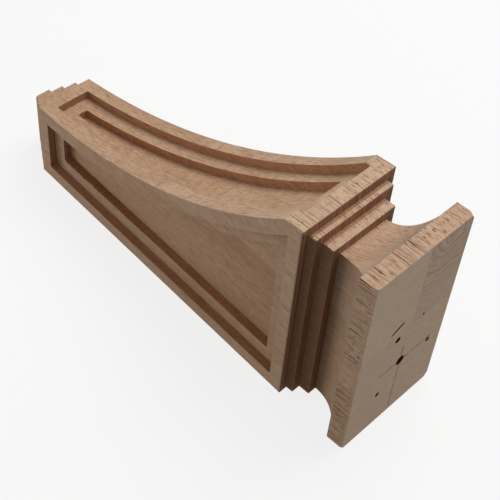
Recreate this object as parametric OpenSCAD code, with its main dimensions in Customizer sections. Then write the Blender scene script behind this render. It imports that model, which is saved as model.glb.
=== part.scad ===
/* [Overall] */
// Width of the top plate, side to side
width = 86; // [70:1:110]
// Depth of the top plate, from the wall face to the front
depth = 154.5; // [125:0.5:190]
// Full height, far end to top face
height = 351; // [300:1:430]

/* [Top plate, cove and steps] */
// Straight edge of the top plate
plate_t = 13; // [8:0.5:18]
// Height of the cove under the top plate
cove_h = 30.2; // [22:0.2:38]
// Height of the upper of the two small steps
upper_step_h = 8.3; // [5:0.1:11]
// Height of the lower of the two small steps
lower_step_h = 5.3; // [3:0.1:8]
// How far each step stands back from the next
step_in = 6.8; // [4:0.1:8.5]
// How far the body's lip stands back from the top plate's edge
lip_in = 2; // [0.5:0.1:4]
// Height of the upright band across the front, under the steps
lip_h = 14.3; // [10:0.1:20]

/* [Body] */
// Width of the body's far end, as a share of its width at the lip
end_width_share = 0.583; // [0.5:0.001:0.7]
// Depth of the body's far end, as a share of the plate's depth
end_depth_share = 0.408; // [0.35:0.001:0.5]

/* [Stepped far end] */
// Height of one step of the far end
end_step_h = 9; // [6:0.1:12]
// How far one step of the far end stands in, front and sides
end_step_in = 5.9; // [4:0.1:7]
// Number of steps at the far end
end_steps = 3; // [1:1:3]

/* [Sunk panels] */
// Plain border left round a panel
border = 10.5; // [7:0.1:14]
// Width of the ledge between a panel's outer and inner recess
ledge = 10.8; // [6:0.1:12]
// Depth of each of a panel's two recesses
recess_d = 6.3; // [3:0.1:7]

/* [Holes in the top face] */
// Distance from the wall face to the centre hole
hole_back = 53.5; // [35:0.5:60]
// How far the centre hole stands off the middle
hole_side = 1.2; // [0:0.1:5]
// Diameter of the centre hole
centre_hole_d = 7; // [4:0.1:9]
// Depth of the centre hole
centre_hole_depth = 18; // [8:0.5:30]
// Circle the three screw holes stand on, diameter
screw_circle_d = 56; // [40:1:60]
// Distance from the wall face to that circle's centre
screw_back = 55; // [35:0.5:60]
// How far that circle's centre stands off the middle
screw_side = 1.8; // [0:0.1:5]
// Diameter of a screw hole
screw_hole_d = 4; // [2:0.1:5]
// Depth of a screw hole
screw_hole_depth = 14; // [6:0.5:20]
// Turn of the screw holes about the centre hole, degrees
screw_turn = 50; // [0:1:119]
// Distance from the wall face to the small test hole
test_hole_back = 87.7; // [70:0.1:100]
// How far the test hole stands off the middle
test_hole_side = 15; // [10:0.5:20]
// Diameter of the small test hole
test_hole_d = 2; // [1:0.1:3]
// Depth of the small test hole
test_hole_depth = 6; // [3:0.5:10]

/* [Hidden] */
slack = 1;
// Levels, measured down from the top face
z_cove = plate_t + cove_h;
z_upper = z_cove + upper_step_h;
z_lip = z_upper + lower_step_h;
z_curve = z_lip + lip_h;
z_end = height - end_steps * end_step_h;
// Half widths of the body and how far it stands out from the wall
neck_in = lip_in + 3 * step_in;
half_w = width / 2;
lip_hw = half_w - lip_in;
end_hw = lip_hw * end_width_share;
lip_d = depth - lip_in;
end_d = depth * end_depth_share;
foot_in = min(end_step_in, end_hw * 0.28, end_d * 0.28);
// Cove: an arc that starts upright at the neck and meets the plate's edge
cove_r = (neck_in * neck_in + cove_h * cove_h) / (2 * neck_in);
// Front curve: an arc that ends upright at the body's far end
curve_h = z_end - z_curve;
curve_in = lip_d - end_d;
curve_r = (curve_h * curve_h + curve_in * curve_in) / (2 * curve_in);
// Widths of the sunk fields follow the lean of the sides
lean = (lip_hw - end_hw) / (z_end - z_lip);

function hw_at(z) = lip_hw - lean * (z - z_lip);

// Outer corners of the work from the top face down, seen from one side:
// out0 is the plate's reach, out1 and out2 the body's at its lip and far end
function corners(out0, out1, out2, foot) = concat(
    [[out0, 0], [out0, -z_cove],
     [out0 - lip_in - 2 * step_in, -z_cove], [out0 - lip_in - 2 * step_in, -z_upper],
     [out0 - lip_in - step_in, -z_upper], [out0 - lip_in - step_in, -z_lip],
     [out1, -z_lip], [out2, -z_end]],
    [for (k = [1 : end_steps], e = [k - 1, k])
        [foot - k * foot_in, -z_end - e * end_step_h]]);

function flipped(p) = [for (i = [len(p) - 1 : -1 : 0]) [-p[i][0], p[i][1]]];

// What the cove takes away under a plate that reaches out0
module cove_cut(out0) {
    intersection() {
        translate([out0 - neck_in + cove_r, -z_cove]) circle(r = cove_r, $fn = 192);
        translate([0, -z_cove]) square([out0 + slack, cove_h]);
    }
}

// What the front curve takes away, run back by g
module front_curve(g) {
    translate([end_d + curve_r, -z_end]) circle(r = curve_r + g, $fn = 360);
}

// The work seen from the front
module front_outline() {
    right = corners(half_w, lip_hw, end_hw, end_hw);
    difference() {
        polygon(concat(right, flipped(right)));
        cove_cut(half_w);
        mirror([1, 0]) cove_cut(half_w);
    }
}

// The work seen from the side, wall face at 0
module side_outline() {
    difference() {
        polygon(concat(corners(depth, lip_d, lip_d, end_d), [[0, -height], [0, 0]]));
        cove_cut(depth);
        front_curve(0);
    }
}

// The body seen from the side, shrunk by g
module body_side_outline(g) {
    difference() {
        translate([g, -z_end + g])
            square([lip_d - 2 * g, z_end - z_lip - 2 * g]);
        front_curve(g);
    }
}

// Extrude a side view across the width
module across(w) {
    rotate([90, 0, -90]) linear_extrude(w, center = true) children();
}

// Extrude a front view from the wall face to the front
module outward(d) {
    rotate([90, 0, 0]) linear_extrude(d) children();
}

// One side panel's recess, g in from the body's edges and t deep
module side_recess(g, t) {
    intersection() {
        across(2 * width) body_side_outline(g);
        translate([0, slack, 0]) outward(depth + 2 * slack)
            polygon([[hw_at(z_lip) - t, -z_lip], [half_w * 2, -z_lip],
                     [half_w * 2, -z_end], [hw_at(z_end) - t, -z_end]]);
    }
}

// Front panel's recess, g in from the sides and t deep behind the curve
module front_recess(g, t) {
    intersection() {
        across(width) intersection() {
            translate([0, -z_end + g]) square([depth, z_end - z_lip - 2 * g]);
            front_curve(t);
        }
        outward(depth)
            polygon([[-hw_at(z_lip) + g, -z_lip], [hw_at(z_lip) - g, -z_lip],
                     [hw_at(z_end) - g, -z_end], [-hw_at(z_end) + g, -z_end]]);
    }
}

// Blind hole from the top face
module top_hole(x, back, d, deep) {
    translate([x, -back, -deep]) cylinder(d = d, h = deep + slack, $fn = 48);
}

module corbel() {
    color("burlywood") translate([0, 0, height / 2]) difference() {
        intersection() {
            across(width + 2 * slack) side_outline();
            outward(depth + slack) front_outline();
        }
        for (s = [0, 1]) mirror([s, 0, 0]) {
            side_recess(border, recess_d);
            side_recess(border + ledge, 2 * recess_d);
        }
        front_recess(border, recess_d);
        front_recess(border + ledge, 2 * recess_d);
        top_hole(-hole_side, hole_back, centre_hole_d, centre_hole_depth);
        for (k = [0 : 2])
            top_hole(screw_circle_d / 2 * cos(screw_turn + 120 * k) - screw_side,
                     screw_back - screw_circle_d / 2 * sin(screw_turn + 120 * k),
                     screw_hole_d, screw_hole_depth);
        top_hole(-test_hole_side, test_hole_back, test_hole_d, test_hole_depth);
    }
}

corbel();
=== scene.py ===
"""Looks of the wooden corbel bracket: one carved piece of laminated hardwood.

Lengths are in millimetres until a mesh is finished, and z = 0 is the top face until then.
"""

import math

import bmesh
import bpy
from mathutils import Matrix, Vector, noise


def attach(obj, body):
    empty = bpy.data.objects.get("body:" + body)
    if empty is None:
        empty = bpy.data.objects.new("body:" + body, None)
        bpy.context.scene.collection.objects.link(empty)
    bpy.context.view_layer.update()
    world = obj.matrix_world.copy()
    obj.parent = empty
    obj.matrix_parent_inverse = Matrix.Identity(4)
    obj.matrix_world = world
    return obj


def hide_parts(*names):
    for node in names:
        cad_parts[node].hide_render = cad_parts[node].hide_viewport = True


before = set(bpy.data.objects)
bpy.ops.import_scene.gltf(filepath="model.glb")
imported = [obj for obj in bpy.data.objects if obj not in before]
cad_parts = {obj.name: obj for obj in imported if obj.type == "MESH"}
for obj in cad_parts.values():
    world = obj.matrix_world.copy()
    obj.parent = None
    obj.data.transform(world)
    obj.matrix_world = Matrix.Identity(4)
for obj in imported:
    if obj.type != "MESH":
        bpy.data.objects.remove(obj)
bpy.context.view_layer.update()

# ---------------------------------------------------------------- sizes, as in part.scad
WIDTH, DEPTH, HEIGHT = 86.0, 154.5, 351.0
PLATE_T, COVE_H, UPPER_H, LOWER_H = 13.0, 30.2, 8.3, 5.3
STEP_IN, LIP_IN, LIP_H = 6.8, 2.0, 14.3
END_WIDTH_SHARE, END_DEPTH_SHARE = 0.583, 0.408
FOOT_H, FOOT_IN, FOOT_STEPS = 9.0, 5.9, 3
BORDER, LEDGE, RECESS_D = 10.5, 10.8, 6.3
CENTRE_HOLE, TEST_HOLE = (-1.2, -53.5), (-15.0, -87.7)
SCREW_MIDDLE, SCREW_CIRCLE_R, SCREW_TURN = (-1.8, -55.0), 28.0, 50.0

Z_COVE = PLATE_T + COVE_H
Z_UPPER = Z_COVE + UPPER_H
Z_LIP = Z_UPPER + LOWER_H
Z_CURVE = Z_LIP + LIP_H
Z_END = HEIGHT - FOOT_STEPS * FOOT_H
HALF_W = WIDTH / 2
NECK_IN = LIP_IN + 3 * STEP_IN
LIP_HW = HALF_W - LIP_IN
END_HW = LIP_HW * END_WIDTH_SHARE
LIP_D = DEPTH - LIP_IN
END_D = DEPTH * END_DEPTH_SHARE
COVE_R = (NECK_IN ** 2 + COVE_H ** 2) / (2 * NECK_IN)
CURVE_H, CURVE_IN = Z_END - Z_CURVE, LIP_D - END_D
CURVE_R = (CURVE_H ** 2 + CURVE_IN ** 2) / (2 * CURVE_IN)
LEAN = (LIP_HW - END_HW) / (Z_END - Z_LIP)

COVE_PARTS = 28          # straight parts that stand for the cove's arc
CURVE_PARTS = 90         # and for the front curve
TOOL_R = 1.6             # radius the router bit leaves in a recess's corners
OUT = 30.0               # how far a cutting shape runs past the work
PLANED, ROUTED, ARRIS = 0, 1, 2    # material slots that mark how a face was cut

# what only the finished wood shows
ARRIS_W, ARRIS_PARTS, ARRIS_ANGLE = 0.5, 2, 32.0    # softened edges, and the angle they start at
CENTRE_HOLE_R, CENTRE_HOLE_DEEP = 3.8, 18.0
TEST_HOLE_R, TEST_HOLE_DEEP = 1.0, 6.0
SCREW_HOLE_RS, SCREW_DEEP = (1.8, 2.0, 2.3), 14.0
HOLE_PARTS, SPLINTER = 28, 0.14          # sides of a hole, and how uneven its wall is
DENT_DEEP = 1.2
CHATTER_COUNT, CHATTER_SPACING, CHATTER_R, CHATTER_UNEVEN = 34, 2.7, 1.3, 0.35
CHATTER_FADE = 0.006                     # slope at which the marks leave the wall
FINE_EDGE = 0.9                          # longest edge left where the wood is chipped


def half_width(z):
    """Half width of the body at a level z below the top face."""
    return LIP_HW - LEAN * (z - Z_LIP)


def curve_depth(z, behind=0.0):
    """How far the front curve stands out from the wall, or a surface behind it."""
    r = CURVE_R + behind
    return END_D + CURVE_R - math.sqrt(max(r * r - (Z_END - z) ** 2, 0.0))


def cove_points(reach):
    """The cove's arc from the plate's edge down to the neck."""
    cx = reach - NECK_IN + COVE_R
    start = math.asin(COVE_H / COVE_R)
    turns = [start * (1 - k / COVE_PARTS) for k in range(COVE_PARTS + 1)]
    return [(cx - COVE_R * math.cos(t), -Z_COVE + COVE_R * math.sin(t)) for t in turns]


def corners(reach, lip, end):
    """Outer corners from the top face to the far end, seen from one side."""
    run = [(reach, 0.0)] + cove_points(reach)
    run += [(reach - LIP_IN - 2 * STEP_IN, -Z_COVE), (reach - LIP_IN - 2 * STEP_IN, -Z_UPPER),
            (reach - LIP_IN - STEP_IN, -Z_UPPER), (reach - LIP_IN - STEP_IN, -Z_LIP)]
    run += lip
    for k in range(1, FOOT_STEPS + 1):
        for e in (k - 1, k):
            run.append((end - k * FOOT_IN, -Z_END - e * FOOT_H))
    return run


def front_outline():
    """The work seen from the front, as (x, z)."""
    right = corners(HALF_W, [(LIP_HW, -Z_LIP), (END_HW, -Z_END)], END_HW)
    return right + [(-x, z) for x, z in reversed(right)]


def side_outline():
    """The work seen from the side, as (depth, z), wall face at 0."""
    curve = [(LIP_D, -Z_LIP)]
    for k in range(CURVE_PARTS + 1):
        z = Z_CURVE + CURVE_H * k / CURVE_PARTS
        curve.append((curve_depth(z), -z))
    return corners(DEPTH, curve, END_D) + [(0.0, -HEIGHT), (0.0, 0.0)]


def rounded(points, radius, parts=5):
    """A closed outline whose sharp corners are rounded."""
    done = []
    n = len(points)
    for i in range(n):
        a, b, c = Vector(points[i - 1]), Vector(points[i]), Vector(points[(i + 1) % n])
        u, v = (a - b).normalized(), (c - b).normalized()
        turn = u.angle(v)
        if turn > math.radians(150):
            done.append(tuple(b))
            continue
        back = min(radius / math.tan(turn / 2), (a - b).length * 0.45, (c - b).length * 0.45)
        p, q = b + u * back, b + v * back
        for k in range(parts + 1):
            t = k / parts
            done.append(tuple(p * (1 - t) ** 2 + b * 2 * t * (1 - t) + q * t ** 2))
    return done


def panel_side_outline(inset):
    """A side panel's outline, inset from the body's edges, as (depth, z)."""
    top, low = Z_LIP + inset, Z_END - inset
    right = min(LIP_D - inset, curve_depth(top, inset))
    run = [(inset, -low), (inset, -top), (right, -top)]
    for k in range(CURVE_PARTS + 1):
        z = top + (low - top) * k / CURVE_PARTS
        d = curve_depth(z, inset)
        if d < right - 0.3:
            run.append((d, -z))
    return rounded(run, TOOL_R)


# ---------------------------------------------------------------- mesh helpers
def solid(name, rings, slots=None):
    """A closed mesh between two outlines of the same length."""
    bm = bmesh.new()
    low, high = [[bm.verts.new(p) for p in ring] for ring in rings]
    n = len(low)
    caps = [bm.faces.new(low), bm.faces.new(high)]
    walls = [bm.faces.new((low[i], low[(i + 1) % n], high[(i + 1) % n], high[i]))
             for i in range(n)]
    if slots:
        for f in caps:
            f.material_index = slots[0]
        for f in walls:
            f.material_index = slots[1]
    bmesh.ops.recalc_face_normals(bm, faces=bm.faces)
    mesh = bpy.data.meshes.new(name)
    bm.to_mesh(mesh)
    bm.free()
    obj = bpy.data.objects.new(name, mesh)
    bpy.context.scene.collection.objects.link(obj)
    for slot in ("planed", "routed", "arris"):
        mesh.materials.append(bpy.data.materials.get(slot) or bpy.data.materials.new(slot))
    return obj


def finish_modifiers(obj):
    """Turn an object's live modifiers into its mesh."""
    graph = bpy.context.evaluated_depsgraph_get()
    mesh = bpy.data.meshes.new_from_object(obj.evaluated_get(graph))
    obj.modifiers.clear()
    old, obj.data = obj.data, mesh
    bpy.data.meshes.remove(old)


def carve(obj, tool, operation="DIFFERENCE", crossing=False):
    """Cut one solid with another, and put the tool away; crossing if the tool's parts overlap."""
    mod = obj.modifiers.new("carve", "BOOLEAN")
    mod.operation, mod.object, mod.solver = operation, tool, "EXACT"
    mod.use_self = crossing
    finish_modifiers(obj)
    bpy.data.objects.remove(tool, do_unlink=True)


def across(name, points, x0, x1, slots):
    """A side outline (depth, z) carried across the width."""
    return solid(name, [[(x, -d, z) for d, z in points] for x in (x0, x1)], slots)


def outward(name, points, d0, d1, slots):
    """A front outline (x, z) carried out from the wall."""
    return solid(name, [[(x, -d, z) for x, z in points] for d in (d0, d1)], slots)


def drill(x, y, radius, deep):
    """A round upright cutting tool whose wall is uneven, as torn fibres leave it."""
    rings = []
    for end in (-deep, deep):
        ring = []
        for k in range(HOLE_PARTS):
            a = 2 * math.pi * k / HOLE_PARTS
            torn = noise.noise(Vector((math.cos(a) * 2, math.sin(a) * 2, radius)))
            r = radius * (1 + SPLINTER * torn)
            ring.append(Vector((x, y, 0)) + Vector((r * math.cos(a), r * math.sin(a), end)))
        rings.append(ring)
    return solid("drill", rings, (ROUTED, ROUTED))


# ---------------------------------------------------------------- the carved work
def side_recess(inset, deep, sign):
    """Cutting shape of one side recess: its floor follows the side's lean."""
    outline = panel_side_outline(inset)
    rings = [[(sign * (half_width(-z) - deep), -d, z) for d, z in outline],
             [(sign * (HALF_W + OUT), -d, z) for d, z in outline]]
    return solid("side recess", rings, (PLANED, ROUTED))


def front_recess(inset, deep):
    """Cutting shape of the front recess: its floor follows the front curve."""
    top, low = Z_LIP + inset, Z_END - inset
    field = [(half_width(z) - inset, -z) for z in (top, low)]
    field += [(-x, z) for x, z in reversed(field)]
    floor = []
    for k in range(CURVE_PARTS + 1):
        z = top - 4 + (low - top + 8) * k / CURVE_PARTS
        floor.append((curve_depth(z, deep), -z))
    side = floor + [(DEPTH + OUT, floor[-1][1]), (DEPTH + OUT, floor[0][1])]
    tool = outward("front recess", rounded(field, TOOL_R), 0.0, DEPTH + OUT - 1, (ROUTED, ROUTED))
    carve(tool, across("floor", side, -WIDTH, WIDTH, (PLANED, PLANED)), "INTERSECT")
    return tool


def chatter_tree():
    """Geometry nodes: a row of round cutters, each a little out of place."""
    tree = bpy.data.node_groups.new("chatter row", "GeometryNodeTree")
    face = tree.interface
    for label, kind, value in (("Count", "NodeSocketInt", 8), ("Spacing", "NodeSocketFloat", 4.0),
                               ("Radius", "NodeSocketFloat", 2.4), ("Length", "NodeSocketFloat", 12.0),
                               ("Uneven", "NodeSocketFloat", 0.5), ("Seed", "NodeSocketInt", 4),
                               ("Material", "NodeSocketMaterial", None)):
        sock = face.new_socket(label, in_out="INPUT", socket_type=kind)
        if value is not None:
            sock.default_value = value
    face.new_socket("Geometry", in_out="OUTPUT", socket_type="NodeSocketGeometry")
    add, link = tree.nodes.new, tree.links.new
    given, out = add("NodeGroupInput"), add("NodeGroupOutput")
    step = add("ShaderNodeCombineXYZ")
    link(given.outputs["Spacing"], step.inputs["Z"])
    row = add("GeometryNodeMeshLine")
    link(given.outputs["Count"], row.inputs["Count"])
    link(step.outputs[0], row.inputs["Offset"])
    tool = add("GeometryNodeMeshCylinder")
    tool.inputs["Vertices"].default_value = 24
    link(given.outputs["Radius"], tool.inputs["Radius"])
    link(given.outputs["Length"], tool.inputs["Depth"])
    low, high = add("ShaderNodeMath"), add("ShaderNodeCombineXYZ")
    low.operation = "MULTIPLY"
    low.inputs[1].default_value = -1.0
    link(given.outputs["Uneven"], low.inputs[0])
    link(given.outputs["Uneven"], high.inputs["Y"])
    link(given.outputs["Uneven"], high.inputs["Z"])
    back = add("ShaderNodeCombineXYZ")
    link(low.outputs[0], back.inputs["Z"])
    stray = add("FunctionNodeRandomValue")
    stray.data_type = "FLOAT_VECTOR"
    link(back.outputs[0], stray.inputs["Min"])
    link(high.outputs[0], stray.inputs["Max"])
    link(given.outputs["Seed"], stray.inputs["Seed"])
    shift = add("GeometryNodeSetPosition")
    link(row.outputs["Mesh"], shift.inputs["Geometry"])
    link(stray.outputs["Value"], shift.inputs["Offset"])
    place = add("GeometryNodeInstanceOnPoints")
    link(shift.outputs[0], place.inputs["Points"])
    link(tool.outputs["Mesh"], place.inputs["Instance"])
    place.inputs["Rotation"].default_value = (0.0, math.pi / 2, 0.0)
    real, paint = add("GeometryNodeRealizeInstances"), add("GeometryNodeSetMaterial")
    link(place.outputs[0], real.inputs[0])
    link(real.outputs[0], paint.inputs["Geometry"])
    link(given.outputs["Material"], paint.inputs["Material"])
    link(paint.outputs[0], out.inputs[0])
    return tree


def chatter_row(first):
    """A row of cutters up from a first place, leaning as the side does."""
    obj = solid("chatter", [[(0, 0, 0), (1, 0, 0), (0, 1, 0)], [(0, 0, 1), (1, 0, 1), (0, 1, 1)]])
    tree = chatter_tree()
    mod = obj.modifiers.new("row", "NODES")
    mod.node_group = tree
    names = {s.name: s.identifier for s in tree.interface.items_tree if s.in_out == "INPUT"}
    for label, value in (("Count", CHATTER_COUNT), ("Spacing", CHATTER_SPACING),
                         ("Radius", CHATTER_R), ("Uneven", CHATTER_UNEVEN),
                         ("Material", bpy.data.materials["routed"])):
        mod[names[label]] = value
    finish_modifiers(obj)
    along = Matrix.Rotation(math.atan(LEAN), 4, "Y") @ Matrix.Rotation(CHATTER_FADE, 4, "X")
    obj.data.transform(Matrix.Translation(Vector(first)) @ along)
    return obj


def carved_corbel():
    """The whole work as one closed mesh, top face at z = 0."""
    work = outward("corbel_wood", front_outline(), 0.0, DEPTH + 1, (PLANED, PLANED))
    carve(work, across("side", side_outline(), -HALF_W - 1, HALF_W + 1, (PLANED, PLANED)), "INTERSECT")
    soften_edges(work)
    for depth_no, inset in ((1, BORDER), (2, BORDER + LEDGE)):
        for sign in (1, -1):
            carve(work, side_recess(inset, depth_no * RECESS_D, sign))
        carve(work, front_recess(inset, depth_no * RECESS_D))
    return work


def top_holes():
    """Every hole in the top face, as (x, y, radius, depth)."""
    holes = [(*CENTRE_HOLE, CENTRE_HOLE_R, CENTRE_HOLE_DEEP),
             (*TEST_HOLE, TEST_HOLE_R, TEST_HOLE_DEEP)]
    for k, radius in enumerate(SCREW_HOLE_RS):
        a = math.radians(SCREW_TURN + 120 * k)
        holes.append((SCREW_MIDDLE[0] + SCREW_CIRCLE_R * math.cos(a),
                      SCREW_MIDDLE[1] + SCREW_CIRCLE_R * math.sin(a), radius, SCREW_DEEP))
    return holes


def drill_holes(work):
    """The holes in the top face, and a slot-like dent beside them."""
    for hole in top_holes():
        carve(work, drill(*hole))
    dent = [(5.0, -97.0), (6.6, -97.3), (11.0, -95.9), (16.0, -93.5), (16.9, -92.0), (15.6, -91.7),
            (10.5, -93.3), (6.2, -95.0)]
    rings = [[(x, y, z) for x, y in dent] for z in (-DENT_DEEP, 2.0)]
    carve(work, solid("dent", rings, (ROUTED, ROUTED)))


def chatter(work):
    """Marks that a chattering bit left along one recess wall."""
    wall_y = -(BORDER + LEDGE)
    start = Z_END - BORDER - LEDGE - 3.0
    floor_x = half_width(start) - 2 * RECESS_D
    carve(work, chatter_row((floor_x + 6.4, wall_y - 0.55, -start)), crossing=True)


def soften_edges(work):
    """Break every arris, as a light sanding does."""
    mod = work.modifiers.new("arris", "BEVEL")
    mod.width, mod.segments, mod.limit_method = ARRIS_W, ARRIS_PARTS, "ANGLE"
    mod.angle_limit = math.radians(ARRIS_ANGLE)
    mod.material = ARRIS
    finish_modifiers(work)


# ---------------------------------------------------------------- wear
def refine(bm, centre, radius, longest):
    """Split long edges near a point until they are shorter than a length."""
    for _ in range(7):
        near = [e for e in bm.edges if e.calc_length() > longest
                and min((e.verts[0].co - centre).length, (e.verts[1].co - centre).length,
                        edge_gap(e, centre)) < radius]
        if not near:
            return
        bmesh.ops.subdivide_edges(bm, edges=near, cuts=1, use_grid_fill=False)
        bmesh.ops.triangulate(bm, faces=[f for f in bm.faces if len(f.verts) > 3])


def edge_gap(edge, point):
    """Distance from a point to an edge."""
    a, b = edge.verts[0].co, edge.verts[1].co
    run = b - a
    t = max(0.0, min(1.0, (point - a).dot(run) / max(run.length_squared, 1e-9)))
    return (a + run * t - point).length


def crush(bm, centre, inward, reach, depth, rough, seed):
    """Press a corner or an arris in to a rough flat: a knock or a chip."""
    centre, inward = Vector(centre), Vector(inward).normalized()
    refine(bm, centre, reach, FINE_EDGE)
    for v in bm.verts:
        away = (v.co - centre).length
        if away > reach:
            continue
        fade = 1 - (away / reach) ** 2
        grain = noise.noise(Vector((v.co.x * 0.9, v.co.y * 0.9, v.co.z * 0.35 + seed)))
        target = depth * fade * (1 + rough * grain)
        have = (v.co - centre).dot(inward)
        if have < target:
            v.co += inward * (target - have) * min(1.0, fade * 1.6)


def add_wear(work):
    """Knocked corners and small chips, where the work shows them."""
    bm = bmesh.new()
    bm.from_mesh(work.data)
    bmesh.ops.triangulate(bm, faces=bm.faces)
    w, d = HALF_W, DEPTH
    tip = 3 * FOOT_IN
    chip = (-0.7, 0, -0.7)
    knocks = [      # place, way in, reach, depth, roughness, seed
        ((-w, -d, 0), (0.75, 0.55, -0.7), 6.5, 1.9, 0.5, 1),
        ((w, -d, 0), (-0.7, 0.6, -0.5), 3.5, 0.9, 0.8, 5),
        ((-w, -1, 0), (0.8, -0.6, -0.4), 6.0, 1.6, 0.4, 9),
        ((w, 0, -0.5), (-0.7, -0.5, -0.6), 3.0, 0.7, 0.6, 11),
        ((w, -85, 0), chip, 2.2, 0.8, 0.8, 17),
        ((w, -70, 0), chip, 1.6, 0.6, 0.8, 21),
        ((w, -122, 0), chip, 2.0, 0.5, 0.8, 23),
        ((END_HW, -END_D, -Z_END), (-0.6, 0.6, 0.5), 4.5, 1.1, 0.5, 31),
        ((LIP_HW, -LIP_D, -Z_LIP), (-0.7, 0.6, -0.4), 3.0, 0.8, 0.7, 37),
        ((END_HW - tip, -END_D + tip, -HEIGHT), (-0.6, 0.6, 0.5), 3.0, 0.7, 0.6, 47)]
    for k, (steps, z, reach, depth) in enumerate((
            (1, Z_LIP - 0.6, 1.9, 0.7), (1, Z_UPPER + 1.6, 1.3, 0.5),
            (2, Z_UPPER - 2.2, 1.5, 0.6), (2, Z_COVE + 3.4, 1.4, 0.5))):
        gap = LIP_IN + steps * STEP_IN
        knocks.append(((w - gap, -d + gap, -z), (-0.7, 0.7, -0.2), reach, depth, 0.8, 51 + 4 * k))
    for knock in knocks:
        crush(bm, *knock)
    bm.to_mesh(work.data)
    bm.free()


def mark_cut_faces(work):
    """Keep how each face was cut, and where shade and highlights are painted, as attributes, and one
    material slot.
    """
    mesh = work.data
    names = ("routed", "sunk", "arris_highlight", "fresh")
    cut, low, edge, fresh = values = [[0.0] * len(mesh.polygons) for _ in names]
    for i, face in enumerate(mesh.polygons):
        z = -face.center.z
        if face.material_index == ROUTED:
            cut[i] = 1.0
        elif Z_COVE - 0.4 < z < Z_LIP + 0.4 and abs(face.normal.z) > 0.5:
            cut[i] = 1.0
        # the ±X risers and the neck get most of the routed colour: routed wood, and painted shade between
        # the plate and the lip
        elif Z_COVE - 0.3 < z < Z_LIP - 0.3 and abs(face.normal.x) > 0.7:
            cut[i] = 0.8
        # bevelled arris faces, which get a painted highlight
        edge[i] = float(face.material_index == ARRIS)
        if Z_LIP + 2 < z < Z_END - 2:
            in_side = half_width(z) - abs(face.center.x)
            in_front = curve_depth(max(z, Z_CURVE)) + face.center.y
            # how deep a recess floor lies, for a painted shade that darkens it
            if face.center.y < -1:
                low[i] = max(0.0, min(1.0, min(in_side, in_front) / (2 * RECESS_D)))
            fresh[i] = float(in_side > BORDER - 1 and in_front < 2 * RECESS_D + 1)
    for name, value in zip(names, values):
        mesh.attributes.new(name, "FLOAT", "FACE").data.foreach_set("value", value)
    mesh.materials.clear()
    for face in mesh.polygons:
        face.material_index = 0
        face.use_smooth = False


# ---------------------------------------------------------------- shader helpers
class Wire:
    """One shader socket, so that shader maths reads as plain expressions."""

    def __init__(self, net, socket):
        self.net, self.socket = net, socket

    def maths(self, operation, *others):
        """Any other Math node on this socket."""
        return self.net.node("ShaderNodeMath", {"operation": operation}, [self, *others])

    def __add__(self, o): return self.maths("ADD", o)
    def __radd__(self, o): return self.maths("ADD", o)
    def __sub__(self, o): return self.maths("SUBTRACT", o)
    def __rsub__(self, o): return self.net.node("ShaderNodeMath", {"operation": "SUBTRACT"}, [o, self])
    def __mul__(self, o): return self.maths("MULTIPLY", o)
    def __rmul__(self, o): return self.maths("MULTIPLY", o)
    def __pow__(self, o): return self.maths("POWER", o)
    def __abs__(self): return self.maths("ABSOLUTE")

    def ramp(self, low, high, to_low=0.0, to_high=1.0):
        """Smooth step from low to high."""
        return self.net.node("ShaderNodeMapRange", {"interpolation_type": "SMOOTHSTEP"},
                             {"Value": self, "From Min": low, "From Max": high,
                              "To Min": to_low, "To Max": to_high})

    def band(self, middle, half, soft):
        """1 within half of the middle, fading out over soft."""
        return abs(self - middle).ramp(half, half + soft, 1.0, 0.0)


class Net:
    """The node tree of one material."""

    def __init__(self, name):
        self.material = bpy.data.materials.new(name)
        self.material.use_nodes = True
        self.tree = self.material.node_tree
        self.tree.nodes.clear()

    def node(self, kind, settings=None, sockets=None, out=0):
        """Add a node: its settings first, then values or links of its sockets."""
        new = self.tree.nodes.new(kind)
        for key, value in (settings or {}).items():
            setattr(new, key, value)
        pairs = sockets.items() if isinstance(sockets, dict) else enumerate(sockets or [])
        for key, value in pairs:
            if isinstance(value, Wire):
                self.tree.links.new(value.socket, new.inputs[key])
            else:
                new.inputs[key].default_value = value
        return Wire(self, new.outputs[out])

    def mix(self, factor, a, b, blend="MIX"):
        """Blend two colours."""
        return self.node("ShaderNodeMix", {"data_type": "RGBA", "blend_type": blend},
                         {0: factor, 6: a, 7: b}, out=2)

    def tint(self, colour, share, shade):
        """Multiply a colour by a shade, over the share of the surface that has it."""
        return self.mix(1.0, colour, self.mix(share, (1, 1, 1, 1), (*shade, 1)), "MULTIPLY")

    def noise(self, vector, scale, detail, rough=0.5):
        """Soft random field in space, around 0.5."""
        return self.node("ShaderNodeTexNoise", {"noise_dimensions": "3D"},
                         {"Vector": vector, "Scale": scale, "Detail": detail, "Roughness": rough})

    def noise_1d(self, w, scale, detail, rough):
        """The same along one measure."""
        return self.node("ShaderNodeTexNoise", {"noise_dimensions": "1D"},
                         {"W": w, "Scale": scale, "Detail": detail, "Roughness": rough})

    def vector(self, x, y, z):
        """Three numbers as one vector."""
        return self.node("ShaderNodeCombineXYZ", None, [x, y, z])

    def surface(self, shader):
        """End the material in this shader."""
        out = self.tree.nodes.new("ShaderNodeOutputMaterial")
        self.tree.links.new(shader.socket, out.inputs["Surface"])


def srgb(r, g, b):
    """A colour given as it looks on screen, 0 to 255."""
    def lin(c):
        c /= 255.0
        return c / 12.92 if c <= 0.04045 else ((c + 0.055) / 1.055) ** 2.4
    return (lin(r), lin(g), lin(b), 1.0)


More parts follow.
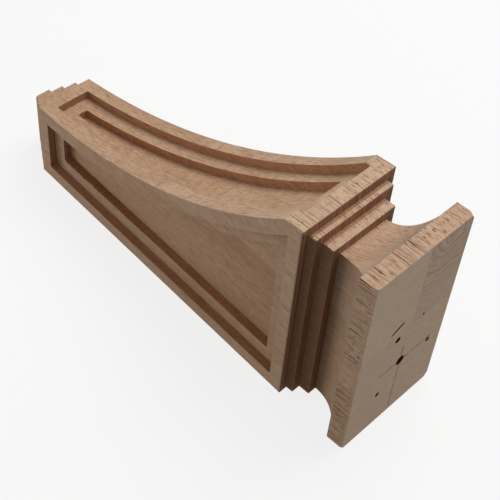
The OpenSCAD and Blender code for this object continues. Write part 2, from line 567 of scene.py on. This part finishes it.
# ---------------------------------------------------------------- the wood
LIGHT_WOOD = srgb(205, 174, 146)
PINK_WOOD = srgb(196, 156, 128)
BAND_WOOD = srgb(178, 140, 110)
FIBRE_WOOD = srgb(146, 108, 78)
PALE_WOOD = srgb(222, 194, 164)
PORE_WOOD = srgb(82, 50, 32)
END_WOOD = srgb(186, 164, 142)
END_DARK = srgb(150, 126, 106)
ROUTED_WOOD = srgb(178, 125, 90)
ROUTED_END = srgb(146, 96, 66)
# painted shade round the steps and neck on the sides
NECK_SHADE = srgb(88, 64, 34)
FRESH_WOOD = srgb(208, 156, 116)
BURNT_WOOD = srgb(112, 70, 46)
HOLE_SHADE_AND_BURN = srgb(70, 42, 28)
# painted shade inside the holes, partly burnt wood
PENCIL = srgb(84, 76, 72)
GLUE = srgb(120, 92, 70)
GLUE_DEPTH = 87.0        # the blank's main glue plane, from the wall face
GLUE_X = -4.5            # the joint between the two front boards
TOP_Z = HEIGHT / 2


def wood_material():
    """Laminated hardwood, straight grained along Z, with pores, rings and cut ends."""
    net = Net("wood")
    coord = net.tree.nodes.new("ShaderNodeTexCoord")
    place, facing = Wire(net, coord.outputs["Object"]), Wire(net, coord.outputs["Normal"])
    split = net.node("ShaderNodeSeparateXYZ", None, [place])
    x, y, z = [Wire(net, split.socket.node.outputs[i]) * 1000.0 for i in range(3)]
    turn = net.node("ShaderNodeSeparateXYZ", None, [facing])
    nx, ny, nz = [Wire(net, turn.socket.node.outputs[i]) for i in range(3)]
    routed, sunk, arris_highlight, fresh = [net.node("ShaderNodeAttribute", {"attribute_name": name}, None, out=2)
                                 for name in ("routed", "sunk", "arris_highlight", "fresh")]

    # boards of the blank
    front = y.ramp(-GLUE_DEPTH - 0.15, -GLUE_DEPTH + 0.15, 1.0, 0.0)
    right = x.ramp(GLUE_X - 0.15, GLUE_X + 0.15, 1.0, 0.0) * front
    board = front * 31.0 + right * 47.0
    end = abs(nz).ramp(0.4, 0.92)
    top = nz.ramp(0.8, 0.95) * z.ramp(TOP_Z - 1.2, TOP_Z - 0.4)

    # the way across the grain on each face, and where the pores show most
    side = abs(nx).ramp(0.45, 0.55)
    across_grain = x + (y - x) * side + board
    plate = z.ramp(157.0, 162.0) * (1.0 - side * y.band(-70.0, 9.0, 5.0) * 0.8)
    bands = z.band(117.0, 15.0, 4.0) * (1.0 - side) * (0.0 - y).ramp(60.0, 70.0) * 0.8
    lined = plate.maths("MAXIMUM", bands) * (0.0 - y).ramp(2.0, 6.0)

    # growth rings round each board's pith, drawn out along the grain
    sway = net.noise(net.vector(x * 0.02 + board, y * 0.02, z * 0.0045), 1.0, 2.0)
    pith_x = 30.0 - front * 5.0 - right * 50.0
    pith_y = 95.0 - front * 390.0 + right * 140.0
    reach = ((x - pith_x) ** 2.0 + (y - pith_y) ** 2.0) ** 0.5 + (sway - 0.5) * 46.0
    rings = net.noise_1d(reach + board, 0.30, 3.0, 0.62)
    streak = net.noise(net.vector(across_grain * 0.8, z * 0.028, side), 1.0, 2.0, 0.55)
    fine_rings = net.noise_1d(reach + board, 1.1, 2.0, 0.5)

    # drifts of tone along the boards
    drift = net.noise(net.vector(x * 0.035 + board, y * 0.035, z * 0.008), 1.0, 3.0)
    mottle = net.noise(net.vector(x * 0.16, y * 0.16 + board, z * 0.035), 1.0, 3.0, 0.6)
    fibre = net.noise(net.vector(across_grain * 1.25, z * 0.11, side), 1.0, 3.0, 0.62)

    # pores: short dark dashes, and longer hair lines
    where = net.noise(net.vector(x * 0.06 + board, y * 0.06, z * 0.012 + 7.0), 1.0, 2.0)
    dash = net.noise(net.vector(across_grain * 1.9, z * 0.20, side + 3.0), 1.0, 0.0)
    hair = net.noise(net.vector(across_grain * 2.0, z * 0.022, side + 8.0), 1.0, 0.0)
    dashes = (dash - (0.67 + lined * 0.02 - right * 0.05 - (where - 0.5) * 0.10)).ramp(0.0, 0.06)
    hairs = (hair - (0.71 + right * 0.05 - plate * (1.0 - right) * 0.09 - bands * 0.03)).ramp(0.0, 0.04)
    shows = (0.45 + lined * 0.55) * (1.0 - side * (1.0 - lined) * 0.5) * (1.0 - end * 0.75)
    pores = dashes.maths("MAXIMUM", hairs * 0.9) * shows

    colour = net.mix(rings.ramp(0.36, 0.64) * 0.6, LIGHT_WOOD, PINK_WOOD)
    colour = net.mix(drift.ramp(0.45, 0.72) * 0.5, colour, BAND_WOOD)
    colour = net.mix(mottle.ramp(0.52, 0.8) * 0.35, colour, LIGHT_WOOD)
    colour = net.mix(streak.ramp(0.5, 0.72) * 0.45, colour, BAND_WOOD)
    colour = net.mix(fibre.ramp(0.48, 0.72) * (0.7 - side * 0.2), colour, FIBRE_WOOD)
    colour = net.mix(fibre.ramp(0.48, 0.3) * 0.5, colour, PALE_WOOD)
    # painted light: the front band over the steps and lip is lightened against the shade of their corners
    colour = net.mix(bands * 0.4, colour, PALE_WOOD)
    colour = net.mix(pores * 0.9, colour, PORE_WOOD)

    # sawn and sanded end grain
    speckle = net.noise(net.vector(x, y + board, z), 0.9, 4.0, 0.75)
    ringed = 0.10 + right * reach.ramp(70.0, 25.0) * 0.6
    cut = net.mix(rings.ramp(0.42, 0.66) * ringed, END_WOOD, END_DARK)
    cut = net.mix(fine_rings.ramp(0.5, 0.75) * 0.22, cut, END_DARK)
    cut = net.mix(speckle.ramp(0.48, 0.7) * 0.45, cut, END_DARK)
    cut = net.mix(mottle.ramp(0.5, 0.75) * 0.25, cut, PALE_WOOD)
    cut = net.tint(cut, right, (0.90, 0.89, 0.88))
    colour = net.mix(end, colour, cut)

    # freshly routed walls and treads, warmed by the bit; then painted shade in the recesses, at the steps
    # and round the neck, and painted highlights on the arrises
    burn = net.noise(net.vector(x * 0.25, y * 0.25, z * 0.05), 1.0, 3.0, 0.6)
    scorch = net.noise(net.vector(x * 0.9, y * 0.9, z * 0.45), 1.0, 3.0, 0.65)
    hot = net.mix(end, ROUTED_WOOD, ROUTED_END)
    hot = net.mix(fresh * 0.55, hot, FRESH_WOOD)
    hot = net.mix(burn.ramp(0.45, 0.75) * 0.5, hot, ROUTED_END)
    hot = net.mix(scorch.ramp(0.47, 0.7) * (0.4 + fresh * 0.25), hot, BURNT_WOOD)
    hot = net.mix(streak.ramp(0.48, 0.68) * 0.55, hot, PINK_WOOD)
    hot = net.mix(fibre.ramp(0.5, 0.75) * 0.5, hot, BURNT_WOOD)
    hot = net.mix(pores * 0.6, hot, PORE_WOOD)
    # painted shade: recess floors darker and yellower the deeper they lie
    colour = net.tint(colour, sunk, (0.97, 0.94, 0.89))
    # painted shade in the inner corner at the foot of the front risers, partly wood burnt by the bit
    foot_shade_and_burn = z.band(TOP_Z - Z_LIP + 0.9, 0.9, 0.8)
    foot_shade_and_burn = foot_shade_and_burn.maths("MAXIMUM", z.band(TOP_Z - Z_UPPER + 1.0, 1.0, 0.8))
    foot_shade_and_burn = foot_shade_and_burn * (0.0 - y).ramp(2.0, 6.0) * (0.0 - ny).ramp(0.5, 0.8)
    # the routed colour, which on the ±X risers and neck also paints their shade
    colour = net.mix(routed.maths("MAXIMUM", foot_shade_and_burn * 0.9) * 0.9, colour, hot)
    # painted shade in the hollow between plate and lip on the sides, darkest from the neck down to the lip
    flank = (abs(x) + y - (HALF_W - DEPTH)).ramp(-0.4, 0.4)
    above_lip = z.ramp(TOP_Z - Z_LIP - 1.0, TOP_Z - Z_LIP - 0.5)
    neck_shade = flank * above_lip * z.ramp(TOP_Z - 30, TOP_Z - Z_COVE, 0.0, 1.0)
    colour = net.mix(neck_shade * (0.42 + burn * 0.2), colour, NECK_SHADE)
    # painted highlight along the softened arrises
    colour = net.mix(arris_highlight * 0.35, colour, LIGHT_WOOD)

    # board joints
    seam = y.band(-GLUE_DEPTH, 0.12, 0.25) + x.band(GLUE_X, 0.1, 0.25) * front
    colour = net.mix(seam.maths("MINIMUM", 1.0) * 0.22, colour, GLUE)
    colour = net.mix(1.0, colour, net.mix(front, (0.98, 0.96, 0.93, 1), (1.02, 1.02, 1.02, 1)), "MULTIPLY")

    # pencilled centre lines and the dent on the top face
    rub = net.noise(net.vector(x, y, z), 0.35, 2.0).ramp(0.35, 0.6, 0.35, 1.0)
    line_x = y.band(CENTRE_HOLE[1], 0.42, 0.3) * x.band(-7.5, 25.5, 3.0)
    line_y = x.band(CENTRE_HOLE[0], 0.42, 0.3) * y.band(-36.0, 30.0, 2.5)
    pencil = line_x.maths("MAXIMUM", line_y) * rub * top
    colour = net.mix(pencil * 0.95, colour, PENCIL)

    # holes and the dent are dark inside: painted shade deep in them, partly burnt wood
    inside = net.node("ShaderNodeAttribute", {"attribute_name": "bored"}, None, out=2)
    colour = net.mix(inside, colour, HOLE_SHADE_AND_BURN)

    # fine relief: pores sink, rings and saw marks stand a little
    saw = net.noise(net.vector(x * 0.35, y * 3.2, z), 1.0, 2.0, 0.5) * top
    relief = fibre * 0.35 - pores * 1.0 + speckle * end * 0.5 + saw * 0.5 + burn * routed * 0.4
    bump = net.node("ShaderNodeBump", None, {"Strength": 0.45, "Distance": 0.00025, "Height": relief})
    rough = 0.62 + pores * 0.2 + fibre * 0.12
    shader = net.node("ShaderNodeBsdfPrincipled", None,
                      {"Base Color": colour, "Roughness": rough, "Normal": bump,
                       "Specular IOR Level": 0.28})
    net.surface(shader)
    return net.material


def mark_bores(work):
    """Faces inside the holes, kept as an attribute for the material."""
    mesh = work.data
    bored = mesh.attributes.new("bored", "FLOAT", "FACE")
    values = [0.0] * len(mesh.polygons)
    for i, face in enumerate(mesh.polygons):
        c = face.center
        if -0.1 > c.z > -20:
            for x, y, radius, _ in top_holes():
                if math.hypot(c.x - x, c.y - y) < radius * 1.2:
                    values[i] = 1.0
            if 4 < c.x < 18 and -98 < c.y < -91 and c.z > -2:
                values[i] = 0.6
    bored.data.foreach_set("value", values)


# ---------------------------------------------------------------- build it
corbel = carved_corbel()
chatter(corbel)
drill_holes(corbel)
add_wear(corbel)
mark_cut_faces(corbel)
mark_bores(corbel)
corbel.data.transform(Matrix.Diagonal((0.001, 0.001, 0.001, 1)) @ Matrix.Translation((0, 0, HEIGHT / 2)))
corbel.data.materials.append(wood_material())
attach(corbel, "root")
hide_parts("corbel")


# ---------------------------------------------------------------- floor, light, camera
LAMP_FAR = 1.6           # metres from the work to each lamp


def pale_floor():
    """The pale surface the work lies on, clear from behind."""
    bpy.ops.mesh.primitive_plane_add(size=6.0, location=(0, 0.0006, 0), rotation=(math.pi / 2, 0, 0))
    floor = bpy.context.object
    floor.name = "floor"
    net = Net("floor")
    path = net.tree.nodes.new("ShaderNodeLightPath")
    seen = Wire(net, path.outputs["Is Camera Ray"])
    behind = net.node("ShaderNodeNewGeometry", None, None, out=6)
    matt = net.node("ShaderNodeBsdfDiffuse", None, {"Color": (0.86, 0.86, 0.86, 1)})
    white = net.node("ShaderNodeEmission", None, {"Color": (1, 1, 1, 1), "Strength": 1.0})
    clear = net.node("ShaderNodeBsdfTransparent")
    near = net.node("ShaderNodeMixShader", None, [seen * 0.82, matt, white])
    net.surface(net.node("ShaderNodeMixShader", None, [behind, near, clear]))
    floor.data.materials.append(net.material)
    floor.visible_shadow = False
    floor.visible_diffuse = False


def white_world(strength):
    """Plain grey light all round, seen as white by the camera."""
    world = bpy.data.worlds.new("studio")
    bpy.context.scene.world = world
    world.use_nodes = True
    tree = world.node_tree
    tree.nodes.clear()
    out, mix = tree.nodes.new("ShaderNodeOutputWorld"), tree.nodes.new("ShaderNodeMixShader")
    grey, white = tree.nodes.new("ShaderNodeBackground"), tree.nodes.new("ShaderNodeBackground")
    path = tree.nodes.new("ShaderNodeLightPath")
    grey.inputs["Color"].default_value = (1.0, 0.99, 0.98, 1)
    grey.inputs["Strength"].default_value = strength
    white.inputs["Color"].default_value = (1, 1, 1, 1)
    tree.links.new(path.outputs["Is Camera Ray"], mix.inputs[0])
    tree.links.new(grey.outputs[0], mix.inputs[1])
    tree.links.new(white.outputs[0], mix.inputs[2])
    tree.links.new(mix.outputs[0], out.inputs["Surface"])


def soft_lamp(name, towards, size, power, colour):
    """A square soft light that looks at the work from a direction."""
    data = bpy.data.lights.new(name, "AREA")
    data.size, data.energy, data.color = size, power, colour
    lamp = bpy.data.objects.new(name, data)
    way = Vector(towards).normalized()
    lamp.location = way * LAMP_FAR
    lamp.rotation_euler = way.to_track_quat("Z", "Y").to_euler()
    bpy.context.scene.collection.objects.link(lamp)


def viewing_camera():
    """The camera, at the viewing angle that shows side, front and top."""
    ahead = Vector((-0.5135, 0.7371, -0.4395)).normalized()
    right = Vector((-0.7019, -0.0661, 0.7092))
    right = (right - ahead * right.dot(ahead)).normalized()
    up = right.cross(ahead)
    turn = Matrix((right, up, -ahead)).transposed().to_4x4()
    data = bpy.data.cameras.new("camera")
    data.sensor_width, data.lens = 36.0, 80.78
    data.clip_end = 20.0
    cam = bpy.data.objects.new("camera", data)
    cam.matrix_world = Matrix.Translation((0.3860, -0.6039, 0.3769)) @ turn
    bpy.context.scene.collection.objects.link(cam)
    bpy.context.scene.camera = cam


pale_floor()
white_world(0.28)
for lamp in (("key", (-0.5, -1.0, 0.06), 1.1, 17.0, (1.0, 0.985, 0.96)),
             ("fill", (1.0, -0.1, -1.2), 0.9, 5.0, (1.0, 0.985, 0.97)),
             ("top", (0.0, 0.1, 1.0), 0.5, 3.7, (1.0, 0.985, 0.98)),
             ("back", (-0.8, 1.0, -0.3), 1.0, 7.0, (1.0, 0.985, 0.97))):
    soft_lamp(*lamp)
viewing_camera()
bpy.context.scene.view_settings.view_transform = "Standard"
